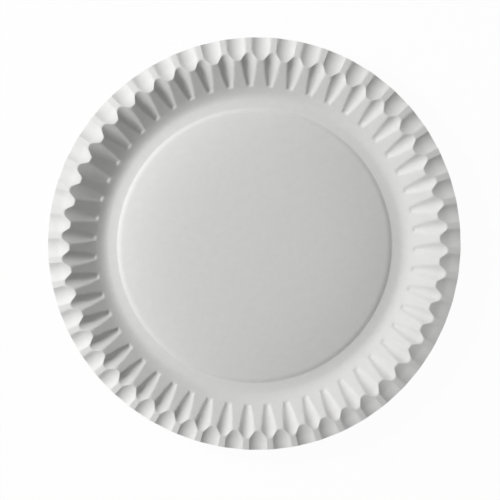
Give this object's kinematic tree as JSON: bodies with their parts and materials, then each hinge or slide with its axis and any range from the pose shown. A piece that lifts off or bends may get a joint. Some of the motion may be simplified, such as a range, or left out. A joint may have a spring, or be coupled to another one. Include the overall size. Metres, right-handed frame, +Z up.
{
  "type": "paper plate",
  "caption": "Round white paper plate of pressed board, with a raised panel, a flat foot ring, a sloping wall with creased grooves and a fluted rim.",
  "frame": {"origin": "centre of the plate, on the table plane under the foot ring", "axes": "+Z up out of the well, +X through the crease of one wall groove"},
  "size_m": [0.23, 0.23, 0.0156],
  "materials": {
    "board": "matt, uncoated"
  },
  "bodies": {
    "root": {"paper_plate": "board"}
  },
  "joints": []
}
